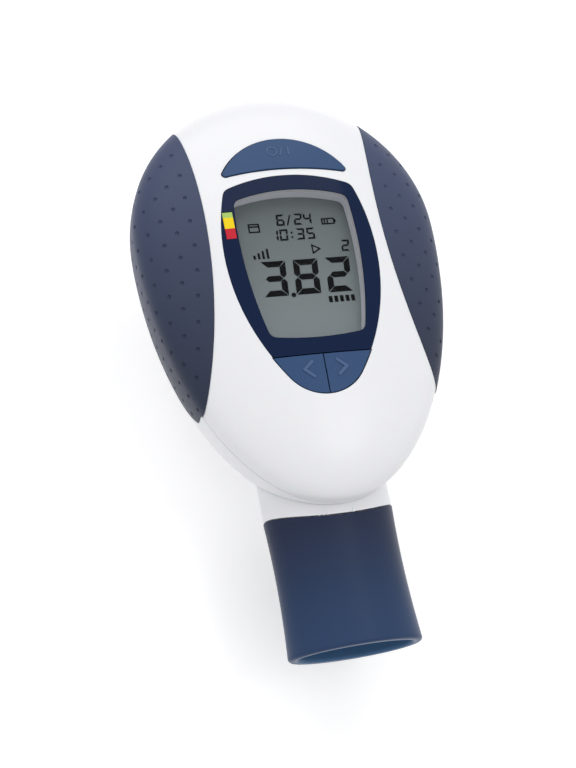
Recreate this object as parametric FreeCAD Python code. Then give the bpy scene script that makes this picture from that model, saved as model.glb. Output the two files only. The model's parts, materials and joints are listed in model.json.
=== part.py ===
"""Hand-held peak flow meter of the turbine kind, lying on its back with the display up.

Frame, in millimetres: X across the display, +Y from the mouthpiece to the head of the case, +Z out of the
display. The origin is under the middle of the whole meter, on the plane that its back rests on.
"""
import FreeCAD
import Part
import functools
import math
import os

V = FreeCAD.Vector

# Case: an egg in plan, with a low dome in front and a deep bowl behind
body_width = 78.0              # over the grips
case_length = 108.5
head_reach = 38.5              # from the widest station to the head
dome_height = 10.0
dome_power = 2.6               # roundness of the dome's section, 2 is an ellipse
crown_hole = 8.0               # open middle of the dome, under the window
back_depth = 37.5              # from the parting plane to the flat back
bowl_reach = 42.0              # where the bowl would end if the back were not flat
bowl_power = 2.0
wall = 2.4
lip_height = 1.2               # the rear shell's tongue inside the front shell
lip_thickness = 0.9
lip_step = 0.3                 # from the wall's inner face out to the tongue's
parting_groove = 0.35          # width and depth of the shadow line under the front shell
section_steps = 14
section_crowding = 1.3         # draws the skin's points towards the rim
plan_steps = 24
skin_tolerance = 0.01
window_steps = 10

# Gaps
fit_gap = 0.1                  # between pieces that are fixed to each other
move_gap = 0.3                 # between pieces that move
touch_gap = 0.05               # under pieces that rest on each other on a curved face
through = 60.0                 # longer than any wall that a cutter goes through

# Grips
grip_depth = 1.0               # how deep the grips are let into the shells
grip_proud = 0.2
grip_waist = 22.4              # from the middle plane to the front edge of a grip
grip_radius = 162.0            # of the front edge
grip_station = 2.5             # from the widest station to the waist, towards the head
grip_low = 47.5                # from the waist station down to the lower tip
grip_high = 27.3               # from the waist station up to the upper tip
grip_back = 32.0               # from the middle plane to the rear edge of a grip

# Display panel: a shield with round sides, its top in line with the window
shield_station = -8.5          # widest point, from the case's widest station
shield_half = 19.4
shield_side_radius = 55.0
shield_rise = 20.8             # from the widest point to the top
shield_top_radius = 44.0
shield_corner = 2.6
shield_tip = 11.0
bezel_thickness = 1.3
bezel_ledge = 1.2
key_line = 26.9                # from the shield's widest point down to the keys
window_half = 15.1
window_rise = 16.7             # from the shield's widest point to the window's top
window_fall = 22.8
window_belly = 4.0             # the window's widest point above the shield's
window_side_radius = 105.0
window_top_radius = 48.0
window_bottom_radius = 69.0
window_corner = 2.3
window_thickness = 1.1
window_sink = 0.12
zone_width = 2.5
zone_length = 7.1
zone_inset = 0.45              # between the strip and the window
zone_low = 4.5                 # from the shield's widest point up to the strip
zone_depth = 0.3
zone_thickness = 0.22

# Display glass, its frame and the board
lcd_drop = 4.4                 # from the crown of the dome to the glass
lcd_thickness = 2.2
lcd_margin = 0.6               # how far the glass reaches past the window
frame_wall = 1.05
frame_lip = 0.4
collar_inset = -0.05          # how far the collar's opening is inside the window's outline
collar_overlap = 0.8
board_drop = 8.1               # from the crown of the dome to the board's top
board_thickness = 1.2
board_half = 19.0
board_length = 71.0
board_head = 57.0              # from the meter's middle to the board's head edge
board_corner = 5.0
post_radius = 1.8
post_x = 15.5
post_inset = 3.0               # of the posts from the board's ends
board_screw_radius = 0.75
board_screw_length = 4.6
board_screw_head = 1.5
board_screw_head_height = 1.1
connector_width = 1.8
connector_length = 26.0
switch_size = 4.4
switch_height = 0.5
switch_dome = 0.4
snap_low_radius = 1.8
snap_high_radius = 1.1
chip_height = 1.0
processor_size = 9.0
chip_size = 4.4
chip_pitch = 6.6
chip_column = 6.4              # from the middle plane to the chips' middles
buzzer_radius = 4.5
buzzer_height = 1.8
buzzer_hole = 0.9
buzzer_x = 9.0
buzzer_inset = 8.5             # from the board's head edge to the buzzer's middle

# Button and keys
button_gap = 2.0               # between the panel and the button
button_rise = 8.6
button_low_radius = 89.0
button_high_radius = 18.7
button_tip = 0.7
button_proud = 0.35
key_travel = 0.6
key_flange = 0.7
flange_thickness = 0.8
key_half_gap = 0.15
stem_radius = 1.4
stem_x = 5.2
stem_fall = 31.5               # from the shield's widest point down to the keys' stems

# Breathing way, along Y
axis_drop = 12.0               # from the parting plane to the tube's axis
neck_show = 2.5                # of the neck between the case and the mouthpiece
neck_half_x = 16.2
neck_half_z = 10.5
neck_inside = 15.5             # how far the oval neck reaches into the case
neck_wall = 1.4
scallop_radius = 52.0          # of the mouthpiece's edge
spigot_half_x = 14.1
spigot_half_z = 8.5
spigot_wall = 1.4
spigot_setback = 10.0          # from the mouth to the spigot's end
tube_radius = 9.9
bore_radius = 8.4
tube_inside = 38.5             # how far the tube reaches into the case
taper_start = 6.5              # from the case's foot out to the start of the taper
taper_length = 10.0
mouthpiece_length = 31.0
mouth_half_x = 16.7
mouth_half_z = 11.0
waist_half_x = 15.9
waist_half_z = 10.3
collar_half_x = 16.4
collar_half_z = 10.6
lip_half_x = 14.2
lip_half_z = 8.2
lip_round = 0.9

# Turbine
swirler_length = 8.0
swirler_hub = 2.4
swirler_ring = 0.7
swirler_ring_length = 2.6
blade_count = 5
blade_thickness = 0.8
blade_twist = 60.0
inlet_station = 4.5            # from the case's foot to the inlet swirler
rotor_length = 14.0
rotor_gap = 2.0                # between the vane and the swirlers
vane_thickness = 0.5
vane_clearance = 0.5
vane_corner = 2.0
shaft_radius = 0.5
shaft_run = 0.04               # running clearance in the bearings
sleeve_radius = 1.1
bearing_radius = 1.2
bearing_length = 1.8
seal_radius = 0.75
seal_stand = 0.5               # how far the ring stands out of the tube
seal_station = 3.0             # from the tube's inner end
port_radius = 1.6

# Sensor bridge and exhaust
bridge_length = 7.0
leg_thickness = 2.6
leg_reach = 3.4                # below the tube's axis
emitter_radius = 1.5
emitter_length = 3.4
duct_half = 12.4
duct_length = 15.5
duct_wall = 1.4
sleeve_overlap = 7.0           # how far the duct's sleeve goes over the tube
slot_count = 5
slot_width = 1.8
slot_pitch = 3.8

# Batteries, across the case
cell_radius = 5.25
cell_length = 44.5
nub_radius = 1.9
nub_length = 0.8
cell_pitch = 11.0
cell_station = 0.5             # the pair's middle from the widest station
cell_height = 14.7             # of the cells' axes over the back
spring_length = 3.0
spring_wire = 0.28              # half the side of the spring's square wire
spring_radius = 2.6
spring_turns = 3
contact_thickness = 0.4
contact_width = 8.6
contact_rise = 23.0            # height of the contacts' tails over the back
tail_width = 3.0
bay_wall = 1.2
bay_gap = 0.6
door_rim = 1.8
door_thickness = 1.3
door_corner = 4.0
door_rib = 1.2
door_rib_x = 12.0
door_notch = 5.0
notch_depth = 0.6
notch_reach = 3.0               # from the door's head edge to the notch's middle
lead_radius = 0.45
lead_bow = 1.0                 # how far a lead swings out of its straight line
lead_inset = 2.5               # from the board's side edge to where a lead ends

# Screws between the shells
boss_radius = 2.8
boss_x = 23.4
boss_head = 16.5               # from the head of the case
boss_foot = 29.5               # from the foot of the case
screw_radius = 1.0
screw_head_radius = 1.9
screw_head_height = 1.5
cross_half = 0.25              # of the cross in the screws' heads
cross_reach = 1.2
screw_seat = 10.5              # below the parting plane
screw_length = 13.0

# Places that follow from the sizes above
meter_length = case_length + neck_show + mouthpiece_length
head_y = meter_length / 2
mouth_y = -meter_length / 2
foot_y = head_y - case_length
wide_y = head_y - head_reach
foot_reach = case_length - head_reach
half_width = body_width / 2 - grip_proud
parting = back_depth
crown = parting + dome_height
panel_low = parting + 1.5
axis_z = parting - axis_drop
shield_y = wide_y + shield_station
shield_top = shield_y + shield_rise
key_y = shield_y - key_line
window_top = shield_y + window_rise
window_bottom = shield_y - window_fall
lcd_top = crown - lcd_drop
board_top = crown - board_drop
board_bottom = board_top - board_thickness
board_head_y = board_head
board_foot_y = board_head - board_length
button_y = shield_top + button_gap
button_top = button_y + button_rise
button_middle = button_y + button_rise * 0.5
stem_y = shield_y - stem_fall
switch_top = board_top + switch_height + switch_dome
scallop_y = foot_y - neck_show + scallop_radius
spigot_y = mouth_y + spigot_setback
tube_end = foot_y + tube_inside
inlet_y = foot_y + inlet_station
rotor_y = inlet_y + swirler_length + rotor_gap
outlet_y = rotor_y + rotor_length + rotor_gap
sensor_y = rotor_y + rotor_length / 2
seal_y = tube_end - seal_station
duct_y = tube_end + 0.6
bay_y = wide_y + cell_station
bay_half_y = cell_pitch / 2 + cell_radius + bay_gap
bay_half_x = (cell_length + spring_length + nub_length) / 2 + contact_thickness
bay_top = cell_height + cell_radius + bay_gap
door_half_x = bay_half_x + door_rim
door_half_y = bay_half_y + door_rim


def half_skin(inset, height, power, top_share):
    """Smooth skin over the right half of the egg plan, from its rim in to a share of its reach."""
    radius = half_width - inset
    last = math.acos(top_share ** (power / 2))
    rows = []
    for step in range(plan_steps + 1):
        turn = math.pi * (step / plan_steps - 0.5)
        reach = (head_reach if turn > 0 else foot_reach) - inset
        row = []
        for rise in range(section_steps + 1):
            lift = last * (rise / section_steps) ** section_crowding
            out = math.cos(lift) ** (2 / power)
            up = math.sin(lift) ** (2 / power)
            x = radius * out * math.cos(turn) if 0 < step < plan_steps else 0.0
            row.append(V(x, reach * out * math.sin(turn), height * up))
        rows.append(row)
    surface = Part.BSplineSurface()
    surface.approximate(Points=rows, DegMin=3, DegMax=3, Tolerance=skin_tolerance, Continuity=2,
                        ParamType="Centripetal")
    return surface.toShape()


def level_edges(skin, at_rim):
    """Edge of the skin that lies at its rim, or the one at its inner end."""
    levels = [edge for edge in skin.Edges if edge.BoundBox.ZLength < touch_gap]
    levels.sort(key=lambda edge: abs(edge.BoundBox.Center.z))
    return levels[0] if at_rim else levels[-1]


def egg(inset, height, power, top_share, is_open):
    """Solid under a skin over the whole egg plan, with a hole or a flat in its middle."""
    right = half_skin(inset, height, power, top_share)
    left = right.mirror(V(0, 0, 0), V(1, 0, 0))
    rim = Part.Wire([level_edges(right, True), level_edges(left, True)])
    tops = [level_edges(right, False), level_edges(left, False)]
    faces = [right, left]
    if is_open:
        walls = [edge.extrude(V(0, 0, -edge.BoundBox.Center.z)) for edge in tops]
        lows = [level_edges(face, True) for face in walls]
        base = Part.Face(rim).cut(Part.Face(Part.Wire(lows)))
        faces += walls + base.Faces
    else:
        faces += [Part.Face(rim), Part.Face(Part.Wire(tops))]
    shell = Part.Shell(faces)
    shell.sewShape()
    solid = Part.Solid(shell)
    if solid.Volume < 0:
        solid.reverse()
    solid.translate(V(0, wide_y, parting))
    return solid


@functools.lru_cache(maxsize=None)
def dome(inset):
    """Front of the case, all in from its surface by the inset, with a hole down from the crown.

    The hole lies inside the display window, which every piece made from the dome leaves open.
    """
    hole = (crown_hole - inset) / (half_width - inset)
    return egg(inset, dome_height - inset, dome_power, hole, True)


@functools.lru_cache(maxsize=None)
def bowl(inset):
    """Back of the case, with its flat, all in from its surface by the inset."""
    height = bowl_reach - inset
    top = back_depth - max(inset, 0.0)
    share = (1 - (top / height) ** bowl_power) ** (1 / bowl_power)
    return egg(inset, -height, bowl_power, share, False)


def stretched(shape, reach, radius):
    """The shape stretched along Y, so that a round plan gets its own reach there."""
    matrix = FreeCAD.Matrix()
    matrix.A22 = reach / radius
    return shape.transformGeometry(matrix)


def slab(low, high):
    return box(-through * 2, through * 2, -through * 2, through * 2, low, high)


def box(x0, x1, y0, y1, z0, z1):
    return Part.makeBox(x1 - x0, y1 - y0, z1 - z0, V(x0, y0, z0))


def post(x, y, low, high, radius):
    return Part.makeCylinder(radius, high - low, V(x, y, low))


def disc(x, y, low, high, radius):
    """Wide round plate beside the middle plane, its seam turned away from that plane."""
    plate = post(x, y, low, high, radius)
    if x < 0:
        plate.rotate(V(x, y, 0), V(0, 0, 1), 180)
    return plate


def along(y0, y1, radius):
    """Round bar on the tube's axis."""
    return Part.makeCylinder(radius, y1 - y0, V(0, y0, axis_z), V(0, 1, 0))


def oval_wire(half_x, half_z, y):
    """Ellipse about the tube's axis."""
    circle = Part.Wire(Part.Circle(V(0, 0, 0), V(0, 1, 0), half_x).toShape())
    matrix = FreeCAD.Matrix()
    matrix.A33 = half_z / half_x
    wire = circle.transformGeometry(matrix)
    wire.translate(V(0, y, axis_z))
    return Part.Wire(wire.Edges)


def oval_bar(half_x, half_z, y0, y1):
    return Part.Face(oval_wire(half_x, half_z, y0)).extrude(V(0, y1 - y0, 0))


def loft(wires):
    return Part.makeLoft(wires, True, False)


def rounded(solid, edges):
    """Fillets on the upright edges; each entry is a test of the edge's middle and a radius."""
    for test, radius in edges:
        chosen = []
        for edge in solid.Edges:
            if edge.BoundBox.ZLength < 1.0:
                continue
            if test(edge.BoundBox.Center):
                chosen.append(edge)
        solid = solid.makeFillet(radius, chosen)
    return solid


def rounded_box(x0, x1, y0, y1, z0, z1, radius):
    solid = box(x0, x1, y0, y1, z0, z1)
    return rounded(solid, [(lambda middle: True, radius)])


def shield(offset, low, high):
    """Outline of the display panel and keys, grown by the offset."""
    reach = shield_side_radius + offset
    side = shield_side_radius - shield_half
    right = disc(-side, shield_y, low, high, reach)
    left = disc(side, shield_y, low, high, reach)
    top = post(0, shield_top - shield_top_radius, low, high, shield_top_radius + offset)
    solid = right.common(left).common(top)
    upper = lambda middle: middle.y > shield_y
    lower = lambda middle: middle.y < shield_y
    return rounded(solid, [(upper, shield_corner + offset), (lower, shield_tip + offset)])


def window_outline(offset, low, high):
    """Outline of the display window, grown by the offset."""
    reach = window_side_radius + offset
    side = window_side_radius - window_half
    right = disc(-side, shield_y + window_belly, low, high, reach)
    left = disc(side, shield_y + window_belly, low, high, reach)
    top = post(0, window_top - window_top_radius, low, high, window_top_radius + offset)
    bottom = post(0, window_bottom + window_bottom_radius, low, high, window_bottom_radius + offset)
    solid = right.common(left).common(top).common(bottom)
    return rounded(solid, [(lambda middle: True, window_corner + offset)])


def button_outline(offset, low, high):
    """Crescent of the power button, grown by the offset."""
    top = post(0, button_top - button_high_radius, low, high, button_high_radius + offset)
    bottom = post(0, button_y - button_low_radius, low, high, button_low_radius - offset)
    solid = top.cut(bottom)
    return rounded(solid, [(lambda middle: abs(middle.x) > 1, button_tip + offset)])


def keys_outline(offset, low, high):
    """Lower tip of the shield, below the key line."""
    tip = shield(offset, low, high)
    return tip.common(box(-through, through, -through, key_y + min(offset, 0.0), low, high))


def grip_area(side, front, grow):
    """Plan of a grip as a prism: in front of the parting plane, or behind it."""
    station = wide_y + grip_station
    low_y = station - grip_low
    high_y = station + grip_high
    centre = grip_waist + grip_radius
    if front:
        disc = post(side * centre, station, parting, crown + 5, grip_radius + grow)
        band = box(-through, through, low_y - through, high_y + through, parting, crown + 5)
        return disc.common(band)
    low_x = centre - math.sqrt(grip_radius ** 2 - grip_low ** 2)
    high_x = centre - math.sqrt(grip_radius ** 2 - grip_high ** 2)
    low_tip = V(side * (low_x - grow), low_y, -1)
    high_tip = V(side * (high_x - grow), high_y, -1)
    middle = V(side * (grip_back - grow), wide_y, -1)
    edge = Part.Arc(low_tip, middle, high_tip).toShape()
    far = side * through
    corners = [high_tip, V(far, high_y, -1), V(far, low_y, -1), low_tip]
    rest = Part.makePolygon(corners)
    face = Part.Face(Part.Wire([edge] + rest.Edges))
    return face.extrude(V(0, 0, parting + 1))


def grip(side):
    """Soft side cover, let into both shells over the parting line."""
    front = dome(-grip_proud).cut(dome(grip_depth)).common(grip_area(side, True, 0))
    rear = bowl(-grip_proud).cut(bowl(grip_depth)).common(grip_area(side, False, 0))
    return front.fuse(rear).removeSplitter()


def grip_recess(front):
    """What the shells lose under both grips."""
    core = dome(grip_depth + fit_gap) if front else bowl(grip_depth + fit_gap)
    both = grip_area(1, front, fit_gap).fuse(grip_area(-1, front, fit_gap))
    return both.cut(core)


def boss_places():
    places = []
    for x in (-boss_x, boss_x):
        places.append((x, head_y - boss_head))
        places.append((x, foot_y + boss_foot))
    return places


def post_places():
    places = []
    for x in (-post_x, post_x):
        places.append((x, board_head_y - post_inset))
        places.append((x, board_foot_y + post_inset))
    return places


def front_shell():
    """Dome with its bosses and board posts, open for the panel, the keys and the button."""
    outer = dome(0)
    shell = outer.cut(dome(wall))
    for x, y in boss_places():
        shell = shell.fuse(post(x, y, parting, crown, boss_radius).common(outer))
    for x, y in post_places():
        shell = shell.fuse(post(x, y, board_top, crown, post_radius).common(outer))
    for x, y in boss_places():
        top = parting - screw_seat + screw_length + fit_gap * 5
        shell = shell.cut(post(x, y, parting - 1, top, screw_radius + fit_gap / 2))
    for x, y in post_places():
        top = board_bottom + board_screw_length + fit_gap * 5
        shell = shell.cut(post(x, y, parting, top, board_screw_radius + fit_gap / 2))
    panel = shield(fit_gap, panel_low, crown + 1).cut(dome(bezel_thickness + touch_gap))
    well = shield(-bezel_ledge, panel_low, crown + 1)
    shell = shell.cut(panel).cut(well)
    shell = shell.cut(keys_outline(move_gap, panel_low, crown + 1))
    shell = shell.cut(button_outline(move_gap, panel_low, crown + 1))
    groove = egg_plate(wall - lip_thickness - fit_gap, parting - 1, parting + lip_height + fit_gap)
    core = egg_plate(wall + 3 * boss_radius, parting - 1, parting + lip_height + fit_gap)
    shell = shell.cut(groove.cut(core).cut(boss_zone()))
    return shell.cut(grip_recess(True))


def boss_zone():
    """Space of the four bosses, which the tongue and its groove leave out."""
    posts = [post(x, y, parting - 1, crown, boss_radius + fit_gap) for x, y in boss_places()]
    return posts[0].multiFuse(posts[1:])


def egg_plate(inset, low, high):
    """Upright plate with the egg's outline."""
    radius = half_width - inset
    head = Part.makeCylinder(radius, high - low, V(0, 0, low), V(0, 0, 1), 180)
    foot = Part.makeCylinder(radius, high - low, V(0, 0, low), V(0, 0, 1), 180)
    foot.rotate(V(0, 0, 0), V(0, 0, 1), 180)
    head = stretched(head, head_reach - inset, radius)
    foot = stretched(foot, foot_reach - inset, radius)
    solid = head.fuse(foot).removeSplitter()
    solid.translate(V(0, wide_y, 0))
    return solid


def rear_shell():
    """Bowl with the battery bay, bosses, neck opening and exhaust slots."""
    outer = bowl(0)
    inner = bowl(wall)
    shell = outer.cut(inner)
    bay = box(-bay_half_x - bay_wall, bay_half_x + bay_wall, bay_y - bay_half_y - bay_wall,
              bay_y + bay_half_y + bay_wall, 0, bay_top + bay_wall)
    shell = shell.fuse(bay.common(outer))
    for x, y in boss_places():
        shell = shell.fuse(post(x, y, 0, parting, boss_radius).common(outer))
    lip = egg_plate(wall - lip_thickness, parting - 1, parting + lip_height)
    lip = lip.cut(egg_plate(wall - lip_step, parting - 2, parting + lip_height + 1))
    shell = shell.fuse(lip.cut(boss_zone()))
    line = slab(parting - parting_groove, parting)
    shell = shell.cut(line.cut(egg_plate(parting_groove, parting - 1, parting + 1)))
    for x, y in boss_places():
        seat = parting - screw_seat
        shell = shell.cut(post(x, y, -1, seat, screw_head_radius + fit_gap))
        shell = shell.cut(post(x, y, seat - 1, parting + 1, screw_radius + fit_gap))
    shell = shell.cut(box(-bay_half_x, bay_half_x, bay_y - bay_half_y, bay_y + bay_half_y, -1, bay_top))
    shell = shell.cut(door_plan(move_gap).cut(bowl(door_thickness + touch_gap)))
    for side in (-1, 1):
        for y in (bay_y - cell_pitch / 2, bay_y + cell_pitch / 2):
            inside = side * (bay_half_x - contact_thickness - fit_gap)
            outside = side * (bay_half_x + fit_gap)
            low_x = min(inside, outside)
            high_x = max(inside, outside)
            half = tail_width / 2 + fit_gap
            shell = shell.cut(box(low_x, high_x, y - half, y + half, bay_top - 1, bay_top + 3))
    shell = shell.cut(oval_bar(neck_half_x + move_gap, neck_half_z + move_gap, foot_y - 10,
                               foot_y + neck_inside + 2))
    shell = shell.cut(exhaust_slots())
    return shell.cut(grip_recess(False))


def exhaust_slots():
    """Row of round-ended slots through the back, under the duct."""
    low = duct_y + duct_wall + 1.2
    high = duct_y + duct_length - duct_wall - 1.2
    slots = []
    for index in range(slot_count):
        x = (index - (slot_count - 1) / 2) * slot_pitch
        half = slot_width / 2
        slot = box(x - half, x + half, low + half, high - half, -1, wall * 2)
        slot = slot.fuse(post(x, low + half, -1, wall * 2, half))
        slots.append(slot.fuse(post(x, high - half, -1, wall * 2, half)))
    return slots[0].multiFuse(slots[1:])


def display_bezel():
    """Glossy shield round the window, let into the dome."""
    skin = dome(0).cut(dome(bezel_thickness))
    panel = skin.common(shield(0, panel_low, crown + 1))
    panel = panel.cut(box(-through, through, -through, key_y, panel_low, crown + 1))
    panel = panel.cut(window_outline(fit_gap, panel_low, crown + 1))
    return panel.cut(zone_plan(fit_gap).cut(dome(zone_depth)))


def zone_plan(grow):
    x1 = -window_half - zone_inset
    y0 = shield_y + zone_low
    return box(x1 - zone_width - grow, x1 + grow, y0 - grow, y0 + zone_length + grow, panel_low, crown + 1)


def zone_strip():
    """Label with the three zones, in its shallow recess."""
    return dome(zone_depth - zone_thickness - touch_gap / 2).cut(dome(zone_depth - touch_gap / 2)).common(zone_plan(0))


def dome_top(x, y):
    """Height of the dome over the parting plane."""
    reach = head_reach if y > wide_y else foot_reach
    out = math.hypot(x / half_width, (y - wide_y) / reach)
    return dome_height * (1 - out ** dome_power) ** (1 / dome_power)


def display_window():
    """Clear cover, flush in the bezel, curved as the dome is."""
    grid = []
    for row in range(window_steps + 1):
        y = window_bottom - 3 + (window_top - window_bottom + 6) * row / window_steps
        line = []
        for column in range(window_steps + 1):
            x = (window_half + 3) * (2 * column / window_steps - 1)
            line.append(V(x, y, parting + dome_top(x, y) - window_sink))
        grid.append(line)
    surface = Part.BSplineSurface()
    surface.interpolate(grid)
    plate = surface.toShape().extrude(V(0, 0, -window_thickness))
    return plate.common(window_outline(0, panel_low, crown + 1))


def glass_box(grow, low, high):
    half = window_half + lcd_margin + grow
    return box(-half, half, window_bottom - 2 * lcd_margin - grow, window_top + lcd_margin + grow, low, high)


def lcd_panel():
    return glass_box(0, lcd_top - lcd_thickness, lcd_top)


def lcd_frame():
    """Frame that holds the glass on the board, with a collar up to the window."""
    top = lcd_top + touch_gap
    body = glass_box(fit_gap + frame_wall, board_top, top + frame_lip)
    body = body.cut(glass_box(fit_gap, board_top - 1, top))
    collar = window_outline(collar_overlap, top, crown + 1)
    collar = collar.common(dome(window_sink + window_thickness + touch_gap))
    collar = collar.common(dome(bezel_thickness + touch_gap))
    body = body.fuse(collar)
    return body.cut(window_outline(-collar_inset, board_top, crown + 1))


def lcd_connector():
    """Elastomer strip between the glass and the board."""
    y = window_bottom + connector_width / 2
    return box(-connector_length / 2, connector_length / 2, y, y + connector_width,
               board_top, lcd_top - lcd_thickness)


def main_board():
    board = rounded_box(-board_half, board_half, board_foot_y, board_head_y, board_bottom, board_top,
                        board_corner)
    for x, y in post_places():
        board = board.cut(post(x, y, board_bottom - 1, board_top + 1, board_screw_radius + fit_gap))
    return board


def board_screws():
    screws = []
    for x, y in post_places():
        screw = post(x, y, board_bottom - board_screw_head_height, board_bottom, board_screw_head)
        screws.append(screw.fuse(post(x, y, board_bottom, board_bottom + board_screw_length,
                                      board_screw_radius)))
    return Part.makeCompound(screws)


def board_chips():
    """Processor under the board, with a column of small chips beside it."""
    places = [(-chip_column, wide_y, processor_size)]
    for index in (-1, 0, 1):
        places.append((chip_column, wide_y + index * chip_pitch, chip_size))
    chips = []
    for x, y, size in places:
        half = size / 2
        chips.append(box(x - half, x + half, y - half, y + half, board_bottom - chip_height, board_bottom))
    return Part.makeCompound(chips)


def dome_switches():
    """Snap domes on the board, under both keys and the button."""
    switches = []
    for x, y in ((-stem_x, stem_y), (stem_x, stem_y), (0, button_middle)):
        half = switch_size / 2
        base = box(x - half, x + half, y - half, y + half, board_top, board_top + switch_height)
        snap = Part.makeCone(snap_low_radius, snap_high_radius, switch_dome, V(x, y, board_top + switch_height))
        switches.append(base.fuse(snap))
    return Part.makeCompound(switches)


def buzzer():
    low = board_bottom - buzzer_height
    can = post(buzzer_x, board_head_y - buzzer_inset, low, board_bottom, buzzer_radius)
    return can.cut(post(buzzer_x, board_head_y - buzzer_inset, low - 1, low + buzzer_height / 3, buzzer_hole))


def pressed_piece(outline, flange, x, y, proud):
    """Cap that follows the dome, a flange that keeps it in, and a stem down to its switch."""
    cap = dome(-proud).cut(dome(wall + move_gap + flange_thickness)).common(outline)
    rim = dome(wall + move_gap).cut(dome(wall + move_gap + flange_thickness)).common(flange)
    low = switch_top + key_travel + fit_gap
    stem = post(x, y, low, crown, stem_radius).common(dome(wall))
    return cap.fuse(rim).fuse(stem)


def power_button():
    outline = button_outline(0, panel_low, crown + 1)
    flange = button_outline(key_flange, panel_low, crown + 1)
    return pressed_piece(outline, flange, 0, button_middle, button_proud)


def arrow_key(side):
    low_x = key_half_gap if side > 0 else -through
    high_x = through if side > 0 else -key_half_gap
    half = box(low_x, high_x, -through, key_y - move_gap, panel_low, crown + 1)
    outline = shield(0, panel_low, crown + 1).common(half)
    flange = shield(key_flange, panel_low, crown + 1).common(half)
    return pressed_piece(outline, flange, side * stem_x, stem_y, 0)


def scallop(shrink, half_depth):
    """Upright cylinder whose wall is the curved edge between the neck and the mouthpiece."""
    return post(0, scallop_y, axis_z - half_depth, axis_z + half_depth, scallop_radius - shrink)


def measuring_tube():
    """Oval neck and spigot outside the case, round tube inside it."""
    neck = oval_bar(neck_half_x, neck_half_z, foot_y - neck_show - 3, foot_y + neck_inside)
    neck = neck.common(scallop(move_gap, through / 2))
    spigot = oval_bar(spigot_half_x, spigot_half_z, spigot_y, foot_y + 4)
    body = neck.fuse(spigot).fuse(along(foot_y, tube_end, tube_radius))
    pockets = oval_bar(neck_half_x - neck_wall, neck_half_z - neck_wall, foot_y + 3, foot_y + neck_inside + 1)
    body = body.cut(pockets.cut(along(foot_y, tube_end, tube_radius)))
    inner_x = spigot_half_x - spigot_wall
    inner_z = spigot_half_z - spigot_wall
    taper_y = foot_y - taper_start
    body = body.cut(oval_bar(inner_x, inner_z, spigot_y - 1, taper_y))
    body = body.cut(loft([oval_wire(inner_x, inner_z, taper_y),
                          oval_wire(bore_radius, bore_radius, taper_y + taper_length)]))
    body = body.cut(along(taper_y + taper_length, tube_end + 1, bore_radius))
    groove = seal_radius + touch_gap
    ring = along(seal_y - groove, seal_y + groove, tube_radius + 1)
    ring = ring.cut(along(seal_y - groove, seal_y + groove, seal_middle() - seal_radius - touch_gap))
    body = body.cut(ring)
    return body.cut(port_bar(port_radius + touch_gap))


def port_bar(radius):
    """Bar across the tube through both sensor ports."""
    return Part.makeCylinder(radius, 4 * tube_radius, V(-2 * tube_radius, sensor_y, axis_z), V(1, 0, 0))


def seal_middle():
    return tube_radius + seal_stand - seal_radius


def tube_seal():
    return Part.makeTorus(seal_middle(), seal_radius, V(0, seal_y, axis_z), V(0, 1, 0))


def tube_windows():
    """Clear plugs in the two sensor ports."""
    skin = along(sensor_y - 5, sensor_y + 5, tube_radius - touch_gap)
    skin = skin.cut(along(sensor_y - 6, sensor_y + 6, bore_radius + touch_gap))
    return skin.common(port_bar(port_radius))


def blade(y0, turn):
    """Twisted blade from the hub out to the ring."""
    half = blade_thickness / 2
    wires = []
    for step in range(4):
        share = step / 3
        y = y0 + swirler_length * share
        inner = swirler_hub * 0.6
        outer = bore_radius - swirler_ring * 0.5
        corners = [V(inner, y, -half), V(outer, y, -half), V(outer, y, half), V(inner, y, half)]
        wire = Part.makePolygon(corners + corners[:1])
        wire.rotate(V(0, 0, 0), V(0, 1, 0), turn + blade_twist * share)
        wire.translate(V(0, 0, axis_z))
        wires.append(wire)
    return loft(wires)


def swirler(y0, nose, bearing_y):
    """Fixed guide wheel: hub with a round nose, twisted blades and a ring in the bore."""
    outside = bore_radius - touch_gap
    body = along(y0, y0 + swirler_length, swirler_hub)
    tip_y = y0 if nose < 0 else y0 + swirler_length
    body = body.fuse(Part.makeSphere(swirler_hub, V(0, tip_y, axis_z)))
    ring_y = y0 + (swirler_length - swirler_ring_length) / 2
    ring = along(ring_y, ring_y + swirler_ring_length, outside)
    ring = ring.cut(along(ring_y - 1, ring_y + swirler_ring_length + 1, outside - swirler_ring))
    body = body.fuse(ring)
    for index in range(blade_count):
        body = body.fuse(blade(y0, index * 360.0 / blade_count))
    body = body.common(along(y0 - swirler_hub - 1, y0 + swirler_length + swirler_hub + 1, outside))
    return body.cut(along(bearing_y - fit_gap, bearing_y + bearing_length + fit_gap,
                          bearing_radius + touch_gap))


def bearing_starts():
    """Where each jewel begins, in the inlet and in the outlet swirler."""
    inlet = inlet_y + swirler_length - bearing_length
    return inlet, outlet_y


def inlet_swirler():
    return swirler(inlet_y, -1, bearing_starts()[0])


def outlet_swirler():
    return swirler(outlet_y, 1, bearing_starts()[1])


def rotor_bearings():
    """Jewel cups that the shaft's ends turn in."""
    inlet, outlet = bearing_starts()
    depth = bearing_length * 0.7
    first = along(inlet, inlet + bearing_length, bearing_radius)
    first = first.cut(along(inlet + bearing_length - depth, inlet + bearing_length + 1,
                            shaft_radius + shaft_run))
    second = along(outlet, outlet + bearing_length, bearing_radius)
    second = second.cut(along(outlet - 1, outlet + depth, shaft_radius + shaft_run))
    return Part.makeCompound([first, second])


def rotor_shaft():
    inlet, outlet = bearing_starts()
    depth = bearing_length * 0.7 - fit_gap
    return along(inlet + bearing_length - depth, outlet + depth, shaft_radius)


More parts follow.
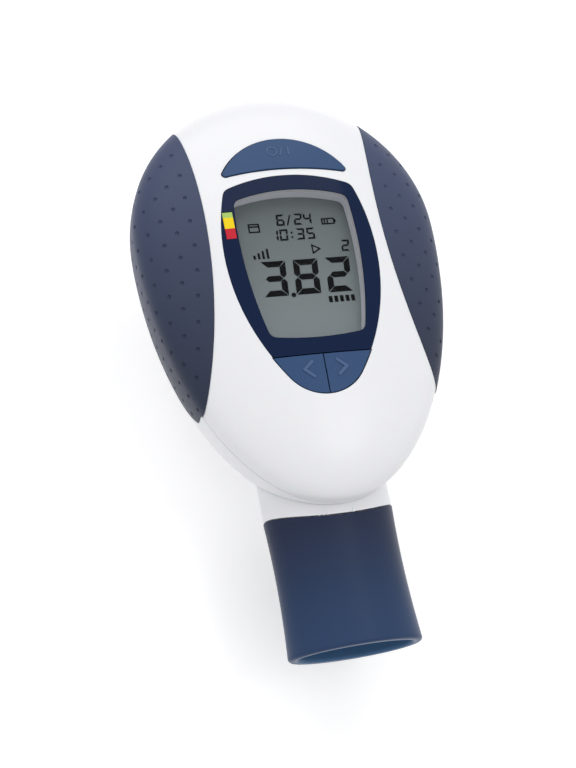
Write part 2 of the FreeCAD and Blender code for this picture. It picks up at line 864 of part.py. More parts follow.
def rotor_vane():
    """Flat vane that cuts the beam twice a turn, on a sleeve."""
    half = bore_radius - vane_clearance
    plate = box(-half, half, rotor_y, rotor_y + rotor_length, axis_z - vane_thickness / 2,
                axis_z + vane_thickness / 2)
    for x in (-half, half):
        for y in (rotor_y, rotor_y + rotor_length):
            corner = Part.makeBox(vane_corner * 1.42, vane_corner * 1.42, 4,
                                  V(-vane_corner * 0.71, -vane_corner * 0.71, -2))
            corner.rotate(V(0, 0, 0), V(0, 0, 1), 45)
            corner.translate(V(x, y, axis_z))
            plate = plate.cut(corner)
    sleeve = along(rotor_y - 0.6, rotor_y + rotor_length + 0.6, sleeve_radius)
    return plate.fuse(sleeve).cut(along(rotor_y - 2, rotor_y + rotor_length + 2, shaft_radius + 0.02))


def bridge_leg_x():
    return tube_radius + seal_stand + move_gap


def sensor_bridge():
    """Saddle under the board that holds the two sensors beside the tube."""
    inside = bridge_leg_x()
    outside = inside + leg_thickness
    y0 = sensor_y - bridge_length / 2
    y1 = sensor_y + bridge_length / 2
    body = box(-outside, outside, y0, y1, axis_z - leg_reach, board_bottom)
    body = body.cut(box(-inside, inside, y0 - 1, y1 + 1, axis_z - leg_reach - 1, axis_z))
    body = body.cut(along(y0 - 1, y1 + 1, inside))
    return body.cut(port_bar(emitter_radius + fit_gap))


def infrared_pair():
    """Emitter at one side and receiver at the other, with round noses."""
    start = bridge_leg_x() + 2 * fit_gap
    pair = []
    for side in (-1, 1):
        lamp = Part.makeCylinder(emitter_radius, emitter_length - emitter_radius,
                                 V(side * (start + emitter_radius), sensor_y, axis_z), V(side, 0, 0))
        nose = Part.makeSphere(emitter_radius, V(side * (start + emitter_radius), sensor_y, axis_z))
        pair.append(lamp.fuse(nose))
    return Part.makeCompound(pair)


def exhaust_duct():
    """Chamber behind the tube that turns the air down to the slots, with a sleeve for the tube."""
    half = duct_half
    inner = half - duct_wall
    sleeve_bore = tube_radius + seal_stand + move_gap
    chamber = box(-half, half, duct_y, duct_y + duct_length, 0, axis_z + tube_radius + duct_wall)
    sleeve = along(tube_end - sleeve_overlap, duct_y + 1, sleeve_bore + duct_wall)
    body = chamber.fuse(sleeve)
    body = body.cut(box(-inner, inner, duct_y + duct_wall, duct_y + duct_length - duct_wall, -1,
                        axis_z + tube_radius))
    body = body.cut(along(tube_end - sleeve_overlap - 1, duct_y + duct_wall + 1, sleeve_bore))
    return body.common(bowl(wall + touch_gap))


def mouthpiece():
    """Clip-on oval mouthpiece with a rounded lip and a curved edge at the neck."""
    top_y = scallop_y - scallop_radius + 4
    waist_y = mouth_y + mouthpiece_length * 0.6
    body = loft([oval_wire(mouth_half_x, mouth_half_z, mouth_y), oval_wire(waist_half_x, waist_half_z, waist_y),
                 oval_wire(collar_half_x, collar_half_z, top_y)])
    inner_x = spigot_half_x - spigot_wall
    inner_z = spigot_half_z - spigot_wall
    stop_y = spigot_y - fit_gap
    throat = loft([oval_wire(lip_half_x, lip_half_z, mouth_y), oval_wire(inner_x, inner_z, stop_y)])
    body = body.cut(throat)
    rims = []
    for edge in body.Edges:
        if edge.BoundBox.YMax < mouth_y + 0.01:
            rims.append(edge)
    body = body.makeFillet(lip_round, rims)
    body = body.cut(oval_bar(spigot_half_x + fit_gap, spigot_half_z + fit_gap, stop_y, top_y + 1))
    return body.cut(scallop(0, through / 2))


def door_plan(grow):
    half_x = door_half_x + grow
    half_y = door_half_y + grow
    return rounded_box(-half_x, half_x, bay_y - half_y, bay_y + half_y, -1, bay_top, door_corner + grow)


def battery_door():
    """Cover that follows the bowl, with ribs under the cells, a snap and a nail notch."""
    skin = bowl(0).cut(bowl(door_thickness)).common(door_plan(0))
    half_y = bay_half_y - move_gap
    ribs = []
    for x in (-door_rib_x, door_rib_x):
        rib = box(x - door_rib / 2, x + door_rib / 2, bay_y - half_y, bay_y + half_y, 0, cell_height)
        ribs.append(rib)
    snap_y = bay_y + half_y
    ribs.append(box(-door_notch, door_notch, snap_y - door_rib, snap_y, 0, cell_height - cell_radius))
    inside = bowl(door_thickness / 2)
    for rib in ribs:
        skin = skin.fuse(rib.common(inside))
    for y in cell_rows():
        skin = skin.cut(Part.makeCylinder(cell_radius + move_gap, 2 * bay_half_x, V(-bay_half_x, y, cell_height),
                                          V(1, 0, 0)))
    notch = Part.makeCylinder(door_notch, 2 * notch_depth,
                              V(0, bay_y + door_half_y - notch_reach, -notch_depth))
    return skin.cut(notch)


def cell_rows():
    return bay_y - cell_pitch / 2, bay_y + cell_pitch / 2


def cell_start(side):
    """Where the spring end of a cell lies; the springs are at opposite ends of the two cells."""
    return -side * (bay_half_x - contact_thickness - spring_length)


def battery(y, side):
    """Cell with its nub towards the given side."""
    body = cell_length - nub_length
    start = cell_start(side)
    can = Part.makeCylinder(cell_radius, body, V(start, y, cell_height), V(side, 0, 0))
    nub = Part.makeCylinder(nub_radius, nub_length, V(start + side * body, y, cell_height), V(side, 0, 0))
    return can.fuse(nub)


def foot_battery():
    return battery(cell_rows()[0], 1)


def head_battery():
    return battery(cell_rows()[1], -1)


def battery_spring(y, side):
    """Coil of square wire between a contact and the flat end of its cell."""
    height = spring_length - 2 * spring_wire - 2 * touch_gap
    helix = Part.makeHelix(height / spring_turns, height, spring_radius)
    inner = spring_radius - spring_wire
    outer = spring_radius + spring_wire
    corners = [V(inner, 0, -spring_wire), V(outer, 0, -spring_wire), V(outer, 0, spring_wire),
               V(inner, 0, spring_wire)]
    profile = Part.makePolygon(corners + corners[:1])
    coil = Part.Wire(helix.Edges).makePipeShell([profile], True, True)
    coil.rotate(V(0, 0, 0), V(0, 1, 0), 90 * side)
    coil.translate(V(-side * (bay_half_x - contact_thickness - spring_wire - touch_gap), y, cell_height))
    return coil


def battery_springs():
    rows = cell_rows()
    return Part.makeCompound([battery_spring(rows[0], 1), battery_spring(rows[1], -1)])


def battery_contacts():
    """Sprung metal plates at both ends of the bay, each with a tail through its roof."""
    plates = []
    for side in (-1, 1):
        for y in cell_rows():
            x0 = min(side * bay_half_x, side * (bay_half_x - contact_thickness))
            half = contact_width / 2
            low = cell_height - cell_radius + 1
            plate = box(x0, x0 + contact_thickness, y - half, y + half, low, bay_top - fit_gap)
            tail = box(x0, x0 + contact_thickness, y - tail_width / 2, y + tail_width / 2,
                       cell_height, contact_rise)
            plates.append(plate.fuse(tail))
    return Part.makeCompound(plates)


def battery_leads():
    """Two wires from the contacts' tails up to the board."""
    leads = []
    for side in (-1, 1):
        y = cell_rows()[1]
        x = side * (bay_half_x - contact_thickness / 2)
        start = V(x, y, contact_rise)
        middle = V(x - side * lead_bow, y + 3 * lead_bow, (contact_rise + board_bottom) / 2)
        end = V(side * (board_half - lead_inset), y + 2 * lead_bow, board_bottom)
        path = Part.Wire(Part.Arc(start, middle, end).toShape())
        tangent = path.Edges[0].tangentAt(path.Edges[0].FirstParameter)
        profile = Part.Wire(Part.Circle(start, tangent, lead_radius).toShape())
        lead = path.makePipeShell([profile], True, True)
        leads.append(lead.common(slab(contact_rise, board_bottom)))
    return Part.makeCompound(leads)


def case_screws():
    screws = []
    seat = parting - screw_seat
    for x, y in boss_places():
        head = post(x, y, seat - screw_head_height, seat, screw_head_radius)
        deep = seat - screw_head_height / 2
        head = head.cut(box(x - cross_half, x + cross_half, y - cross_reach, y + cross_reach, seat - 3, deep))
        head = head.cut(box(x - cross_reach, x + cross_reach, y - cross_half, y + cross_half, seat - 3, deep))
        screws.append(head.fuse(post(x, y, seat, seat + screw_length, screw_radius)))
    return Part.makeCompound(screws)


def pieces():
    return {
        "front_shell": front_shell,
        "rear_shell": rear_shell,
        "left_grip": lambda: grip(-1),
        "right_grip": lambda: grip(1),
        "display_bezel": display_bezel,
        "display_window": display_window,
        "zone_strip": zone_strip,
        "lcd_panel": lcd_panel,
        "lcd_frame": lcd_frame,
        "lcd_connector": lcd_connector,
        "main_board": main_board,
        "board_screws": board_screws,
        "board_chips": board_chips,
        "dome_switches": dome_switches,
        "buzzer": buzzer,
        "power_button": power_button,
        "left_key": lambda: arrow_key(-1),
        "right_key": lambda: arrow_key(1),
        "measuring_tube": measuring_tube,
        "tube_seal": tube_seal,
        "tube_windows": tube_windows,
        "inlet_swirler": inlet_swirler,
        "outlet_swirler": outlet_swirler,
        "rotor_bearings": rotor_bearings,
        "rotor_shaft": rotor_shaft,
        "rotor_vane": rotor_vane,
        "sensor_bridge": sensor_bridge,
        "infrared_pair": infrared_pair,
        "exhaust_duct": exhaust_duct,
        "mouthpiece": mouthpiece,
        "battery_door": battery_door,
        "foot_battery": foot_battery,
        "head_battery": head_battery,
        "battery_springs": battery_springs,
        "battery_contacts": battery_contacts,
        "battery_leads": battery_leads,
        "case_screws": case_screws,
    }


def main():
    os.makedirs("parts", exist_ok=True)
    for name, make in pieces().items():
        shape = make()
        shape.exportStep("parts/" + name + ".step")
        print("%-18s solids %d  volume %9.2f  valid %s" % (name, len(shape.Solids), shape.Volume, shape.isValid()))


main()
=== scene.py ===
"""Looks of a hand-held peak flow meter: finishes, dimpled grips, display, signs and studio."""
import json
import math

import bpy
from mathutils import Matrix, Vector

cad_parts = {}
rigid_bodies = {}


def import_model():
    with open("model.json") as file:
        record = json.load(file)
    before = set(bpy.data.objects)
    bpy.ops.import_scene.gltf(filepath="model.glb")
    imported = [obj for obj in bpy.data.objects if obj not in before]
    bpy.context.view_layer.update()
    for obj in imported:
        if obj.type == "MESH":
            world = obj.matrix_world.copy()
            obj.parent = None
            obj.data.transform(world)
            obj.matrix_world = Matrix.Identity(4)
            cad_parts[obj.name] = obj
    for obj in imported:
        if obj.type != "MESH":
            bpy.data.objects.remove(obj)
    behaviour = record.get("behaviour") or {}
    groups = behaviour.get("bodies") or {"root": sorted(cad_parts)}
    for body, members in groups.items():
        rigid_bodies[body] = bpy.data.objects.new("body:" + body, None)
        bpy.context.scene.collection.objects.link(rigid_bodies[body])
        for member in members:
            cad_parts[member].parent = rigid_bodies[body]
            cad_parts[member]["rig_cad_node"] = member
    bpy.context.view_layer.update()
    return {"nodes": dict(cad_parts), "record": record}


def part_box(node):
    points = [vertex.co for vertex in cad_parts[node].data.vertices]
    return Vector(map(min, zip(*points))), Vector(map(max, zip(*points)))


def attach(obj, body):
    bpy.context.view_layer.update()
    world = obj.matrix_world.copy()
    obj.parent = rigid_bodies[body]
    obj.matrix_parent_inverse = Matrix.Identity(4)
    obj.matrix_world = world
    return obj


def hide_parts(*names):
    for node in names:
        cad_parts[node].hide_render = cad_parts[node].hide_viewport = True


bl_info = {
    "name": "Peak Flow Meter",
    "version": (1, 0, 0),
    "blender": (4, 5, 0),
    "location": "3D View > Sidebar > Flow Meter",
    "description": "Finishes, dimpled grips, display and studio of a hand-held peak flow meter",
    "category": "Object",
}

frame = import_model()
nodes = frame["nodes"]

MM = 0.001
PREFIX = "Flow Meter "
LCD_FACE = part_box("lcd_panel")[1].z
ZONE_LOW, ZONE_HIGH = [corner.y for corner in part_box("zone_strip")]
# Where each colour of the zone label starts, as a share of its length
ZONE_COLORS = ((0.0, (0.58, 0.018, 0.034)), (0.39, (0.92, 0.68, 0.010)), (0.80, (0.42, 0.61, 0.15)))
# Height of the middle of the breathing way, and the half axes between the mouthpiece's two faces
AXIS_Z = 0.0255
MOUTH_HALF_WIDTH, MOUTH_HALF_HEIGHT = 15.2 * MM, 9.4 * MM
# Its inner colour fades out between these shares of the half axes
INNER_SHARE, OUTER_SHARE = 0.97, 1.03
# Where colours fade along the meter, and the first and last tone of the grips and the display.
# These fades are painted light and shade: the mouthpiece lighter and bluer toward its lips, the
# grips lighter toward the head, the display darker toward the head and lighter toward the foot
MOUTH_SPAN = (-71 * MM, -38 * MM)
GRIP_SPAN, GRIP_PAINTED_LIGHT_TONES = (-18 * MM, 62 * MM), (0.58, 1.38)
DISPLAY_SPAN, DISPLAY_PAINTED_SHADE_TONES = (-1 * MM, 41 * MM), (1.45, 0.92)
# The clear cover's gloss, and the rise of a normal below which a face belongs to its rim
COVER_ROUGHNESS, RIM_RISE = 0.03, 0.5

# Where the camera stands, and its axes
CAMERA_PLACE = (-0.1126, -0.1247, 0.3637)
CAMERA_RIGHT = (0.95233, -0.18911, 0.23935)
CAMERA_UP = (0.09221, 0.92641, 0.36505)
CAMERA_AHEAD = (0.29077, 0.32558, -0.89970)
SENSOR_WIDTH = 36
NEAREST_SEEN = 0.01
# Lamps: place, width and depth; and the point that they face
LAMPS = {
    "key_light": ((-0.02, 0.88, 0.88), 1.2, 0.8),
    "fill_light": ((0.95, -0.15, 0.60), 0.6, 0.6),
    "top_light": ((0.34, -0.03, 0.95), 0.30, 0.22),
}
LIT_POINT = (0, 0.01, 0.02)
FLOOR_SIZE = 6
FLOOR_DROP = 0.15 * MM

# Dimples: where the rows start along the meter, and the first column, in gaps from the front edge
FIRST_ROW_Y = 21.4 * MM
FIRST_COLUMN = 0.95
ROW_REACH = 80 * MM
LEAST_DIMPLES = 20
# The point inside the meter that rays come in to, the arc of rays from a grip's front, their start
HEART_X, HEART_Z = 12 * MM, 24 * MM
FIRST_ANGLE, ANGLE_STEP, ANGLE_COUNT = 88, 0.5, 320
RAY_START = 80 * MM
# Room that a dimple needs round it, the height and depth of that test, and the least facing
MARGIN, MARGIN_LIFT, MARGIN_DEPTH, MARGIN_FACING = 1.5 * MM, 3 * MM, 4 * MM, 0.8
ON_SURFACE = 0.005 * MM
# Places are compared to a micrometre
MICROMETRES = 1e6

# Bars of a numeral: middle across and up in halves of its size, turn, and the ends at a corner
BARS = {
    "a": (0, 1, 0, (-1, 1)),
    "b": (1, 0.5, -90, (-1,)),
    "c": (1, -0.5, -90, (1,)),
    "d": (0, -1, 180, (-1, 1)),
    "e": (-1, -0.5, 90, (-1,)),
    "f": (-1, 0.5, 90, (1,)),
    "g": (0, 0, 0, ()),
}
NUMERALS = {
    "0": "abcdef", "1": "bc", "2": "abged", "3": "abgcd", "4": "fgbc", "5": "afgcd",
    "6": "afgedc", "7": "abc", "8": "abcdefg", "9": "abcdfg",
}
BAR_GAP = 0.17          # between two bars, as a share of their stroke
INK_HEIGHT = 0.06 * MM  # how far numerals and signs stand up from the display
INK = 0.36 * MM         # line width of the small signs

# The display in millimetres from the meter's middle: large numerals, their point, and small ones
LARGE_X, LARGE_STEP, LARGE_Y = -6.95, 8.3, 18.8
LARGE_WIDTH, LARGE_STROKE = 0.67, 0.165
SMALL_WIDTH, SMALL_STROKE = 0.68, 0.155
POINT = (-2.95, 14.15, 0.60)
UPPER_XS, UPPER_Y = (-2.45, 2.15, 4.6), 34.55
LOWER_XS, LOWER_Y = (-4.8, -2.3, 2.0, 4.7), 30.45
COUNT_PLACE = (13.0, 26.5)
COLON = ((-0.2, 29.75, 0.27), (-0.2, 30.95, 0.27))
SLASH = ((-0.75, 33.2), (0.2, 35.7))
# Small signs: boxes as left, low, right, high; then single strokes
SIGN_BOXES = ((-10.9, 31.7, -8.3, 33.8), (8.3, 32.8, 11.4, 34.2))
SIGN_STROKES = (
    ((-10.9, 33.15), (-8.3, 33.15)),
    ((11.75, 33.3), (11.75, 33.7)),
    ((8.95, 33.25), (8.95, 33.75)),
    ((9.7, 33.25), (9.7, 33.75)),
    ((4.3, 25.0), (4.3, 27.2)),
    ((4.3, 27.2), (6.2, 26.1)),
    ((6.2, 26.1), (4.3, 25.0)),
)
RISING_BARS = [((-10.9 + 1.15 * n, 24.6), (-10.9 + 1.15 * n, 25.1 + 0.55 * n)) for n in range(4)]
SQUARES = [((6.2 + 1.45 * n, 11.9), (6.2 + 1.45 * n, 12.6)) for n in range(5)]
RISING_BAR_WIDTH, SQUARE_WIDTH = INK * 1.6, INK * 2.6

# Raised signs are made this high over the meter, then let down and sunk in a little
OVER_ALL = 60 * MM
SINK = 0.06 * MM
BEVEL_SHARE = 0.45
POWER_SIGN_Y, POWER_SIGN_HALF, POWER_SIGN_RISE = 51.7 * MM, 1.35 * MM, 0.14 * MM
RING_X, RING_RADIUS, SLASH_XS, BAR_X = -2.3 * MM, 1.2 * MM, (-0.45 * MM, 0.6 * MM), 1.95 * MM
THIN_LINE, BAR_LINE, BAR_SHORTER = 0.36 * MM, 0.4 * MM, 0.05 * MM
ARROW_TIP_X, ARROW_BACK_X, ARROW_Y, ARROW_HALF = 5.3 * MM, 2.9 * MM, -6.75 * MM, 2.05 * MM
ARROW_LINE, ARROW_RISE, MERGED_WITHIN = 0.78 * MM, 0.24 * MM, 0.01 * MM
NECK_MARK_XS = (-5.3 * MM, -4.3 * MM, -3.3 * MM, 3.1 * MM)
NECK_MARK_Y, NECK_MARK_HALF = -39.2 * MM, 0.6 * MM
NECK_MARK_LINE, NECK_MARK_RISE = 0.42 * MM, 0.2 * MM


def clear():
    """Leaves nothing selected, so that an operator acts only on what is picked next."""
    for obj in bpy.context.view_layer.objects:
        obj.select_set(False)


def take(obj):
    clear()
    obj.select_set(True)
    bpy.context.view_layer.objects.active = obj


def discard(obj):
    take(obj)
    bpy.ops.object.delete()


def apply_modifier(obj, kind, **settings):
    take(obj)
    modifier = obj.modifiers.new(kind.title(), kind)
    for key, value in settings.items():
        setattr(modifier, key, value)
    bpy.ops.object.modifier_apply(modifier=modifier.name)


def join(parts):
    clear()
    for part in parts:
        part.select_set(True)
    bpy.context.view_layer.objects.active = parts[0]
    if len(parts) > 1:
        bpy.ops.object.join()
    return bpy.context.view_layer.objects.active


def settle(obj, name, body, material, angle=35):
    """Names a finished piece, puts its place into its mesh, and ties it to its body and finish."""
    take(obj)
    bpy.ops.object.transform_apply(location=True, rotation=True, scale=True)
    bpy.ops.object.shade_smooth_by_angle(angle=math.radians(angle))
    obj.name = name
    obj.data.materials.clear()
    obj.data.materials.append(material)
    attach(obj, body)


def copy_at(pattern, matrix):
    """One more copy of a pattern object, with its own mesh, moved by the matrix."""
    twin = pattern.copy()
    twin.data = pattern.data.copy()
    twin.matrix_world = matrix @ pattern.matrix_world
    bpy.context.scene.collection.objects.link(twin)
    return twin


def math_node(tree, operation, *values):
    """Output of a Math node that takes the given sockets and numbers."""
    node = tree.nodes.new("ShaderNodeMath")
    node.operation = operation
    for socket, value in zip(node.inputs, values):
        if isinstance(value, bpy.types.NodeSocket):
            tree.links.new(value, socket)
        else:
            socket.default_value = value
    return node.outputs[0]


def mix_shaders(tree, factor, first, second):
    mix = tree.nodes.new("ShaderNodeMixShader")
    for socket, value in zip(mix.inputs, (factor, first, second)):
        tree.links.new(value, socket)
    return mix.outputs["Shader"]


def mix_colors(tree, factor, first, second):
    mix = tree.nodes.new("ShaderNodeMix")
    mix.data_type = "RGBA"
    tree.links.new(factor, mix.inputs["Factor"])
    tree.links.new(first, mix.inputs["A"])
    tree.links.new(second, mix.inputs["B"])
    return mix.outputs["Result"]


def own_place(tree):
    return tree.nodes.new("ShaderNodeTexCoord").outputs["Object"]


def new_group(name, inputs, output):
    """Empty node group with named inputs (type and default) and one output."""
    tree = bpy.data.node_groups.new(name, "ShaderNodeTree")
    for label, kind, default in inputs:
        socket = tree.interface.new_socket(name=label, in_out="INPUT", socket_type=kind)
        if default is not None:
            socket.default_value = default
    tree.interface.new_socket(name=output[0], in_out="OUTPUT", socket_type=output[1])
    return tree, tree.nodes.new("NodeGroupInput"), tree.nodes.new("NodeGroupOutput")


def grain_group():
    """Fine moulded grain as a normal."""
    tree, start, end = new_group("Moulded Grain", [
        ("Vector", "NodeSocketVector", None),
        ("Scale", "NodeSocketFloat", 2500.0),
        ("Height", "NodeSocketFloat", 0.00002),
    ], ("Normal", "NodeSocketVector"))
    noise = tree.nodes.new("ShaderNodeTexNoise")
    noise.inputs["Detail"].default_value = 3.0
    bump = tree.nodes.new("ShaderNodeBump")
    bump.inputs["Strength"].default_value = 1.0
    tree.links.new(start.outputs["Vector"], noise.inputs["Vector"])
    tree.links.new(start.outputs["Scale"], noise.inputs["Scale"])
    tree.links.new(noise.outputs["Fac"], bump.inputs["Height"])
    tree.links.new(start.outputs["Height"], bump.inputs["Distance"])
    tree.links.new(bump.outputs["Normal"], end.inputs["Normal"])
    return tree


def drift_group():
    """A value that drifts softly over the surface, up and down by a share of itself."""
    tree, start, end = new_group("Soft Drift", [
        ("Vector", "NodeSocketVector", None),
        ("Value", "NodeSocketFloat", 0.4),
        ("Share", "NodeSocketFloat", 0.15),
    ], ("Result", "NodeSocketFloat"))
    noise = tree.nodes.new("ShaderNodeTexNoise")
    noise.inputs["Scale"].default_value = 70.0
    noise.inputs["Detail"].default_value = 2.0
    tree.links.new(start.outputs["Vector"], noise.inputs["Vector"])
    centred = math_node(tree, "MULTIPLY_ADD", noise.outputs["Fac"], 2.0, -1.0)
    change = math_node(tree, "MULTIPLY", centred, start.outputs["Share"])
    factor = math_node(tree, "ADD", change, 1.0)
    result = math_node(tree, "MULTIPLY", factor, start.outputs["Value"])
    tree.links.new(result, end.inputs["Result"])
    return tree


def fade_group():
    """A colour that changes smoothly along Y, from one place to another."""
    tree, start, end = new_group("Fade Along Y", [
        ("Vector", "NodeSocketVector", None),
        ("From", "NodeSocketFloat", 0.0),
        ("To", "NodeSocketFloat", 0.1),
        ("First", "NodeSocketColor", (0.5, 0.5, 0.5, 1.0)),
        ("Last", "NodeSocketColor", (0.8, 0.8, 0.8, 1.0)),
    ], ("Color", "NodeSocketColor"))
    split = tree.nodes.new("ShaderNodeSeparateXYZ")
    share = tree.nodes.new("ShaderNodeMapRange")
    share.interpolation_type = "SMOOTHSTEP"
    tree.links.new(start.outputs["Vector"], split.inputs["Vector"])
    tree.links.new(split.outputs["Y"], share.inputs["Value"])
    tree.links.new(start.outputs["From"], share.inputs["From Min"])
    tree.links.new(start.outputs["To"], share.inputs["From Max"])
    color = mix_colors(tree, share.outputs["Result"], start.outputs["First"], start.outputs["Last"])
    tree.links.new(color, end.inputs["Color"])
    return tree


GROUP_MAKERS = {"grain": grain_group, "drift": drift_group, "fade": fade_group}
GROUPS = {}


def group_node(tree, name, **values):
    """A shared group in a material, on the object's own coordinates, with values on its inputs."""
    if name not in GROUPS:
        GROUPS[name] = GROUP_MAKERS[name]()
    node = tree.nodes.new("ShaderNodeGroup")
    node.node_tree = GROUPS[name]
    tree.links.new(own_place(tree), node.inputs["Vector"])
    for label, value in values.items():
        node.inputs[label].default_value = value
    return node


def surface(name, color, roughness, grain=0.0, grain_scale=2500.0, drift=0.12, **more):
    """Principled material whose roughness drifts a little and whose surface has a fine grain."""
    material = bpy.data.materials.new(PREFIX + name)
    material.use_nodes = True
    material.diffuse_color = (*color, 1.0)
    tree = material.node_tree
    shader = tree.nodes["Principled BSDF"]
    shader.inputs["Base Color"].default_value = (*color, 1.0)
    shader.inputs["Roughness"].default_value = roughness
    if drift:
        soft = group_node(tree, "drift", Value=roughness, Share=drift)
        tree.links.new(soft.outputs["Result"], shader.inputs["Roughness"])
    if grain:
        fine = group_node(tree, "grain", Scale=grain_scale, Height=grain)
        tree.links.new(fine.outputs["Normal"], shader.inputs["Normal"])
    for key, value in more.items():
        shader.inputs[key.replace("_", " ")].default_value = value
    return material


def faded(tree, span, first, last):
    """A colour that changes smoothly along Y over a span, from the first to the last."""
    ends = {"From": span[0], "To": span[1], "First": (*first, 1.0), "Last": (*last, 1.0)}
    return group_node(tree, "fade", **ends).outputs["Color"]


def paint(material, color):
    """Leads a colour that changes over the surface into the base colour of a material."""
    tree = material.node_tree
    tree.links.new(color, tree.nodes["Principled BSDF"].inputs["Base Color"])
    return material


def painted_light_fade(material, span, color, tones):
    """Lets the base colour of a material fade along Y, between two tones of one colour, as painted
    light and shade.
    """
    ends = [[part * tone for part in color] for tone in tones]
    return paint(material, faded(material.node_tree, span, *ends))


def zone_finish():
    """Label in three even colours, one above the other."""
    material = surface("Zone Label", ZONE_COLORS[1][1], 0.35, Specular_IOR_Level=0.15)
    tree = material.node_tree
    split = tree.nodes.new("ShaderNodeSeparateXYZ")
    height = tree.nodes.new("ShaderNodeMapRange")
    height.inputs["From Min"].default_value = ZONE_LOW
    height.inputs["From Max"].default_value = ZONE_HIGH
    ramp = tree.nodes.new("ShaderNodeValToRGB")
    ramp.color_ramp.interpolation = "CONSTANT"
    stops = ramp.color_ramp.elements
    stops.new(1.0)
    for stop, (start, color) in zip(stops, ZONE_COLORS):
        stop.position = start
        stop.color = (*color, 1.0)
    tree.links.new(own_place(tree), split.inputs["Vector"])
    tree.links.new(split.outputs["Y"], height.inputs["Value"])
    tree.links.new(height.outputs["Result"], ramp.inputs["Fac"])
    return paint(material, ramp.outputs["Color"])


def clear_cover(name, tint, ior, rim):
    """Clear plastic: light passes, its outer face mirrors the room a little, its rim is opaque."""
    material = bpy.data.materials.new(PREFIX + name)
    material.use_nodes = True
    tree = material.node_tree
    tree.nodes.remove(tree.nodes["Principled BSDF"])
    passing = tree.nodes.new("ShaderNodeBsdfTransparent")
    passing.inputs["Color"].default_value = (*tint, 1.0)
    mirror = tree.nodes.new("ShaderNodeBsdfGlossy")
    mirror.inputs["Roughness"].default_value = COVER_ROUGHNESS
    side = tree.nodes.new("ShaderNodeBsdfDiffuse")
    side.inputs["Color"].default_value = (*rim, 1.0)
    edge = tree.nodes.new("ShaderNodeFresnel")
    edge.inputs["IOR"].default_value = ior
    facing = tree.nodes.new("ShaderNodeNewGeometry")
    split = tree.nodes.new("ShaderNodeSeparateXYZ")
    tree.links.new(facing.outputs["Normal"], split.inputs["Vector"])
    front = math_node(tree, "SUBTRACT", 1.0, facing.outputs["Backfacing"])
    sheen = math_node(tree, "MULTIPLY", edge.outputs["Fac"], front)
    level = math_node(tree, "ABSOLUTE", split.outputs["Z"])
    is_side = math_node(tree, "LESS_THAN", level, RIM_RISE)
    face = mix_shaders(tree, sheen, passing.outputs["BSDF"], mirror.outputs["BSDF"])
    whole = mix_shaders(tree, is_side, face, side.outputs["BSDF"])
    tree.links.new(whole, tree.nodes["Material Output"].inputs["Surface"])
    return material


def bar(length, stroke, depth, corners):
    """Flat bar along X with two pointed tips; at a corner, its +Y side runs on to a full mitre."""
    clear()
    radius = stroke / math.sqrt(3)
    bpy.ops.mesh.primitive_cylinder_add(
        vertices=6, radius=radius, depth=depth, rotation=(0, 0, math.radians(30)))
    obj = bpy.context.active_object
    bpy.ops.object.transform_apply(location=True, rotation=True, scale=True)
    # The hexagon's tips lie at its radius along X, and its shoulders at half of that
    shoulder = (length - stroke - radius) / 2
    tip = length / 2 - radius - shoulder
    for side in (-1, 1):
        pull_out(obj, side, 0, shoulder)
        pull_out(obj, side, shoulder + radius * 0.75, tip)
    for side in corners:
        for vertex in obj.data.vertices:
            if vertex.co.y > stroke / 4 and vertex.co.x * side > 0:
                vertex.co.x = side * (length + stroke) / 2
    return obj


def pull_out(obj, side, beyond, reach):
    """Moves the corners that lie beyond a distance along X further out."""
    bpy.ops.object.mode_set(mode="EDIT")
    bpy.ops.mesh.select_all(action="DESELECT")
    bpy.ops.object.mode_set(mode="OBJECT")
    for vertex in obj.data.vertices:
        vertex.select = vertex.co.x * side > beyond
    bpy.ops.object.mode_set(mode="EDIT")
    bpy.ops.transform.translate(value=(side * reach, 0, 0))
    bpy.ops.object.mode_set(mode="OBJECT")


def numeral(sign, x, y, width, height, stroke, lean):
    """Bars of one numeral round its middle; the upright bars lean to the right."""
    parts = []
    gap = stroke * BAR_GAP
    half_width = (width - stroke) / 2
    half_height = (height - stroke) / 2
    patterns = {}
    for key in NUMERALS[sign]:
        across, up, turn, corners = BARS[key]
        upright = abs(turn) == 90
        if (upright, corners) not in patterns:
            length = half_height if upright else 2 * half_width
            patterns[upright, corners] = bar(length - gap, stroke, INK_HEIGHT, corners)
        rise = up * half_height
        place = Matrix.Translation(
            (x + across * half_width + rise * math.tan(lean), y + rise, LCD_FACE + INK_HEIGHT / 2))
        angle = math.radians(turn) - (lean if upright else 0)
        turned = place @ Matrix.Rotation(angle, 4, "Z")
        parts.append(copy_at(patterns[upright, corners], turned))
    for pattern in patterns.values():
        discard(pattern)
    return parts


def stroke_between(start, end, width=INK):
    """Straight raised stroke between two points of the display, in millimetres."""
    start, end = Vector(start) * MM, Vector(end) * MM
    run = end - start
    middle = (start + end) / 2
    clear()
    bpy.ops.mesh.primitive_cube_add(
        size=1, location=(middle.x, middle.y, LCD_FACE + INK_HEIGHT / 2),
        rotation=(0, 0, math.atan2(run.y, run.x)))
    obj = bpy.context.active_object
    obj.scale = (run.length + width, width, INK_HEIGHT)
    bpy.ops.object.transform_apply(location=True, rotation=True, scale=True)
    return obj


def dot(x, y, radius, sides):
    """Raised dot on the display, in millimetres."""
    clear()
    bpy.ops.mesh.primitive_cylinder_add(
        vertices=sides, radius=radius * MM, depth=INK_HEIGHT,
        location=(x * MM, y * MM, LCD_FACE + INK_HEIGHT / 2))
    return bpy.context.active_object


